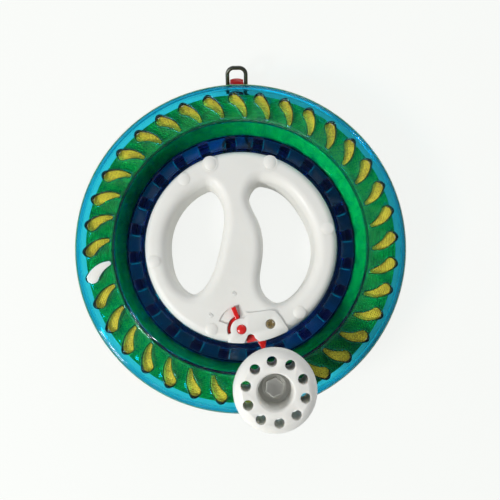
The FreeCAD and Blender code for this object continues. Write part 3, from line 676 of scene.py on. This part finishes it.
def leaf_edges(mesh, face_z):
    """The edges round the leaf windows on the flange's flat face at height face_z."""
    sides = {}
    for face in mesh.polygons:
        for key in face.edge_keys:
            sides.setdefault(key, []).append(face.normal.z)
    found = []
    for edge in mesh.edges:
        ends = [mesh.vertices[index].co for index in edge.vertices]
        level = all(abs(end.z - face_z) < 0.01 * MM for end in ends)
        inside = all(LEAF_BAND[0] * MM < math.hypot(end.x, end.y) < LEAF_BAND[1] * MM for end in ends)
        slopes = sides[tuple(sorted(edge.vertices))]
        if level and inside and max(map(abs, slopes)) > 0.9 and min(map(abs, slopes)) < 0.5:
            found.append(edge.index)
    return found


def spool_half(node_name, side):
    """One half, drawn back from the parting plane, with its sharp edges rounded."""
    piece = solid_copy(node_name, node_name + "_dressed")
    mesh = piece.data
    for vertex in mesh.vertices:
        if abs(vertex.co.z - MID_Z * MM) < 0.002 * MM:
            vertex.co.z += side * PARTING_GAP * MM
    apply_modifier(piece, "BEVEL", width=0.3 * MM, segments=2, limit_method="ANGLE",
                   angle_limit=math.radians(40), use_clamp_overlap=True)
    smooth(piece)
    return finish_piece(piece, clear_blue, "spool", SLOT_OF[node_name], node_name)


def leaf_outline(node_name, suffix, side):
    """A copy of a half's solid of which only the edges round the leaf windows are left."""
    piece = solid_copy(node_name, node_name + suffix)
    chosen = set(leaf_edges(piece.data, (MID_Z + side * FLANGE_FACE) * MM))
    pick(piece)
    bpy.ops.object.mode_set(mode="EDIT")
    bpy.ops.mesh.select_mode(type="EDGE")
    bpy.ops.mesh.select_all(action="DESELECT")
    bpy.ops.object.mode_set(mode="OBJECT")
    for edge in piece.data.edges:
        edge.select = edge.index not in chosen
    bpy.ops.object.mode_set(mode="EDIT")
    bpy.ops.mesh.delete(type="EDGE_FACE")
    bpy.ops.mesh.select_all(action="SELECT")
    bpy.ops.mesh.delete_loose(use_verts=True, use_edges=False, use_faces=False)
    bpy.ops.object.mode_set(mode="OBJECT")
    return piece


def leaf_band(node_name, suffix, side, start, height):
    """An upright band along the leaf outlines, from start to start + height off the flange's face."""
    piece = leaf_outline(node_name, suffix, side)
    in_edit_mode(
        piece,
        lambda: bpy.ops.transform.translate(value=(0, 0, side * start * MM)),
        lambda: bpy.ops.mesh.extrude_region_move(
            TRANSFORM_OT_translate={"value": (0, 0, side * height * MM)}),
        lambda: bpy.ops.mesh.select_all(action="SELECT"),
        lambda: bpy.ops.mesh.normals_make_consistent(inside=False),
        lambda: bpy.ops.mesh.select_mode(type="VERT"),
    )
    return piece


def widened_crown(point):
    """Moves a point outward by its share of CROWN_REACH, which grows beyond CROWN_START."""
    radius = math.hypot(point.x, point.y)
    share = max(0.0, min(1.0, (radius / MM - CROWN_START) / CROWN_SLOPE))
    grown = 1 + share * CROWN_REACH * MM / radius
    point.x *= grown
    point.y *= grown


def leaf_lips(node_name, side):
    """Low rounded lips that stand on the flange round the leaf windows."""
    piece = leaf_band(node_name, "_lips", side, LIP_START, LIP_HEIGHT)
    apply_modifier(piece, "SOLIDIFY", thickness=LIP_THICKNESS * MM, offset=1.0, use_even_offset=False)
    in_edit_mode(piece, lambda: bpy.ops.mesh.normals_make_consistent(inside=False))
    apply_modifier(piece, "BEVEL", width=0.18 * MM, segments=2, limit_method="ANGLE",
                   angle_limit=math.radians(50), use_clamp_overlap=True)
    smooth(piece)
    return finish_piece(piece, clear_blue, "spool", SLOT_OF[node_name])


def leaf_wall_shade(node_name, side):
    """Skins of painted shade in dark dense dye on the cut walls of the leaf windows, wider at the crowns.
    """
    piece = leaf_band(node_name, "_walls", side, WALL_START, -WALL_HEIGHT)
    apply_modifier(piece, "DISPLACE", strength=-WALL_CLEARANCE * MM, mid_level=0.0)
    outer_points = len(piece.data.vertices)
    apply_modifier(piece, "SOLIDIFY", thickness=WALL_THICKNESS * MM, offset=-1.0, use_even_offset=False)
    for vertex in piece.data.vertices[:outer_points]:
        widened_crown(vertex.co)
    in_edit_mode(piece, lambda: bpy.ops.mesh.normals_make_consistent(inside=False))
    smooth(piece)
    return finish_piece(piece, painted_shade_skin, "spool", SLOT_OF[node_name])


for node_name, side in (("spool_front_half", 1), ("spool_rear_half", -1)):
    piece = spool_half(node_name, side)
    lips = leaf_lips(node_name, side)
    walls = leaf_wall_shade(node_name, side)
    print([(made.name, len(made.data.polygons)) for made in (piece, lips, walls)])

# %% [markdown]
# ## The wound line
#
# The line lies in turns beside one another, so the pack's surface is a row of rounded ridges. The outline
# of a cut through the pack gets one small arch per strand, and is spun round the axle. A little noise
# then moves whole stretches, as hand winding does.

# %% Wind the line
STRAND = 1.05
STRAND_POINTS = 4
WIND_STEPS = 240
PACK_CORNERS = [(73.3, 21.0), (77.9, 33.3), (94.45, 33.3), (94.8, 29.5), (94.8, 12.5), (94.45, 8.7),
                (77.9, 8.7)]


def pack_outline():
    """The (radius, height) points of the pack's cut, with one arch per strand."""
    points = []
    for start, end in zip(PACK_CORNERS, PACK_CORNERS[1:] + PACK_CORNERS[:1]):
        span = math.dist(start, end)
        strands = max(1, round(span / STRAND))
        along = ((end[0] - start[0]) / span, (end[1] - start[1]) / span)
        outward = (-along[1], along[0])
        for index in range(strands * STRAND_POINTS):
            share = index / (strands * STRAND_POINTS)
            arch = abs(math.sin(math.pi * share * strands)) * 0.36 - 0.3
            points.append((start[0] + along[0] * span * share + outward[0] * arch,
                           start[1] + along[1] * span * share + outward[1] * arch))
    return points


def wound_line():
    outline = pack_outline()
    bpy.ops.object.select_all(action="DESELECT")
    bpy.ops.mesh.primitive_circle_add(vertices=len(outline), radius=0.01)
    piece = bpy.context.object
    piece.name = "line_winding_dressed"
    for vertex, (radius, height) in zip(piece.data.vertices, outline):
        vertex.co = (radius * MM, 0, height * MM)
    in_edit_mode(
        piece,
        lambda: bpy.ops.mesh.spin(steps=WIND_STEPS, angle=2 * math.pi, center=(0, 0, 0), axis=(0, 0, 1)),
        lambda: bpy.ops.mesh.remove_doubles(threshold=0.001 * MM),
        lambda: bpy.ops.mesh.normals_make_consistent(inside=False),
    )
    drift = bpy.data.textures.new("winding_drift", "CLOUDS")
    drift.noise_scale = 5.0 * MM
    apply_modifier(piece, "DISPLACE", texture=drift, strength=0.45 * MM, mid_level=0.62)
    smooth(piece, 60)
    return finish_piece(piece, yellow_line, "spool", SLOT_OF["line_winding"], "line_winding")


winding = wound_line()
print(winding.name, len(winding.data.polygons), "faces")

# %% [markdown]
# ## Bolt and screw
#
# The knob turns on a hexagon head bolt. Its head is forged: the face is dished and a narrow raised edge
# runs round it. The cover's screw is brass with a cross recess, cut here with two crossed bars.

# %% Forge the bolt head
KNOB_AXIS = (17.69, -82.525)
HEX_FLATS = 10.0
HEX_TURN = 8.0
HEAD_LOW, HEAD_TOP = 49.4, 53.3
SHANK_LOW = 33.8
SHANK_RADIUS = 2.98
HEAD_INSETS = ((0.4, 0.0), (0.3, -0.35), (2.6, -0.06))


def hex_bolt():
    bpy.ops.object.select_all(action="DESELECT")
    bpy.ops.mesh.primitive_cylinder_add(
        vertices=6, radius=HEX_FLATS / math.sqrt(3) * MM, depth=(HEAD_TOP - HEAD_LOW) * MM,
        location=(KNOB_AXIS[0] * MM, KNOB_AXIS[1] * MM, (HEAD_TOP + HEAD_LOW) / 2 * MM),
        rotation=(0, 0, math.radians(-HEX_TURN)))
    head = bpy.context.object
    head.name = "knob_bolt_dressed"
    bpy.ops.object.transform_apply(location=True, rotation=True, scale=True)
    bpy.ops.object.mode_set(mode="EDIT")
    bpy.ops.mesh.select_all(action="DESELECT")
    bpy.ops.object.mode_set(mode="OBJECT")
    for face in head.data.polygons:
        face.select = face.normal.z > 0.9
    bpy.ops.object.mode_set(mode="EDIT")
    for thickness, depth in HEAD_INSETS:
        bpy.ops.mesh.inset(thickness=thickness * MM, depth=depth * MM)
    bpy.ops.object.mode_set(mode="OBJECT")
    apply_modifier(head, "BEVEL", width=0.22 * MM, segments=2, limit_method="ANGLE",
                   angle_limit=math.radians(30))
    bpy.ops.object.select_all(action="DESELECT")
    bpy.ops.mesh.primitive_cylinder_add(
        vertices=48, radius=SHANK_RADIUS * MM, depth=(HEAD_LOW - SHANK_LOW) * MM,
        location=(KNOB_AXIS[0] * MM, KNOB_AXIS[1] * MM, (HEAD_LOW + SHANK_LOW) / 2 * MM))
    shank = bpy.context.object
    bpy.ops.object.transform_apply(location=True, rotation=True, scale=True)
    apply_modifier(shank, "BEVEL", width=0.4 * MM, segments=2, limit_method="ANGLE")
    head.select_set(True)
    bpy.context.view_layer.objects.active = head
    bpy.ops.object.join()
    smooth(head, 30)
    return finish_piece(head, stainless, "spool", SLOT_OF["knob_bolt"], "knob_bolt")


bolt = hex_bolt()
print(bolt.name, len(bolt.data.polygons), "faces")

# %% Cut the cover screw
SCREW_AXIS = (17.2, -48.3)
SCREW_SHRINK = 0.9
CROSS_HEIGHT = 31.2
CROSS_TURN = 35
CROSS_ARM = (4.1 * MM, 1.1 * MM, 3.0 * MM)


def cross_screw():
    piece = solid_copy("lock_cover_screw", "lock_cover_screw_dressed")
    in_edit_mode(piece, lambda: bpy.ops.transform.resize(
        value=(SCREW_SHRINK, SCREW_SHRINK, 1.0),
        center_override=(SCREW_AXIS[0] * MM, SCREW_AXIS[1] * MM, 0)))
    for index in range(2):
        bpy.ops.object.select_all(action="DESELECT")
        bpy.ops.mesh.primitive_cube_add(
            size=1.0, location=(SCREW_AXIS[0] * MM, SCREW_AXIS[1] * MM, CROSS_HEIGHT * MM),
            rotation=(0, 0, math.radians(CROSS_TURN + 90 * index)), scale=CROSS_ARM)
        bar = bpy.context.object
        bpy.ops.object.transform_apply(location=True, rotation=True, scale=True)
        pick(piece)
        cut = piece.modifiers.new("cross", "BOOLEAN")
        cut.operation = "DIFFERENCE"
        cut.object = bar
        bpy.ops.object.modifier_apply(modifier=cut.name)
        bpy.data.objects.remove(bar)
    apply_modifier(piece, "BEVEL", width=0.12 * MM, segments=2, limit_method="ANGLE",
                   angle_limit=math.radians(35))
    smooth(piece)
    return finish_piece(piece, brass, "grip", SLOT_OF["lock_cover_screw"], "lock_cover_screw")


screw = cross_screw()
print(screw.name, len(screw.data.polygons), "faces")

# %% [markdown]
# ## Signs on the grip
#
# Beside the lever's arc the grip carries two small raised padlock signs, for open and for closed. They
# are moulded with the shell, so they have its plastic and soft edges.

# %% Raise the signs
GRIP_FACE = 31.0
LOCK_BODY = (2.0, 1.6, 0.9)
SHACKLE_REACH = 1.25
SHACKLE_RISE = 0.12


def little_block(place, size, turn, edge):
    """A small raised block with rounded edges, at place on the grip's face."""
    bpy.ops.object.select_all(action="DESELECT")
    bpy.ops.mesh.primitive_cube_add(
        size=1.0, location=(place[0] * MM, place[1] * MM, GRIP_FACE * MM),
        rotation=(0, 0, math.radians(turn)), scale=[length * MM for length in size])
    block = bpy.context.object
    bpy.ops.object.transform_apply(location=True, rotation=True, scale=True)
    apply_modifier(block, "BEVEL", width=edge * MM, segments=3, limit_method="ANGLE")
    return block


def padlock_sign(name, place, turn, swing):
    """A padlock: a body and a ring for its shackle, which stands off to one side when open."""
    body = little_block(place, LOCK_BODY, turn, 0.25)
    body.name = name
    away = math.radians(turn + 90 + swing)
    bpy.ops.object.select_all(action="DESELECT")
    bpy.ops.mesh.primitive_torus_add(
        major_radius=0.68 * MM, minor_radius=0.24 * MM, major_segments=32, minor_segments=10,
        location=((place[0] + SHACKLE_REACH * math.cos(away)) * MM,
                  (place[1] + SHACKLE_REACH * math.sin(away)) * MM, (GRIP_FACE + SHACKLE_RISE) * MM))
    bpy.ops.object.transform_apply(location=True, rotation=True, scale=True)
    body.select_set(True)
    bpy.context.view_layer.objects.active = body
    bpy.ops.object.join()
    smooth(body)
    return finish_piece(body, white_plastic, "grip", "white_plastic")


signs = [padlock_sign("open_sign", (-4.4, -30.0), 8, 20),
         padlock_sign("closed_sign", (-18.6, -43.0), 35, 0)]
print([sign.name for sign in signs])
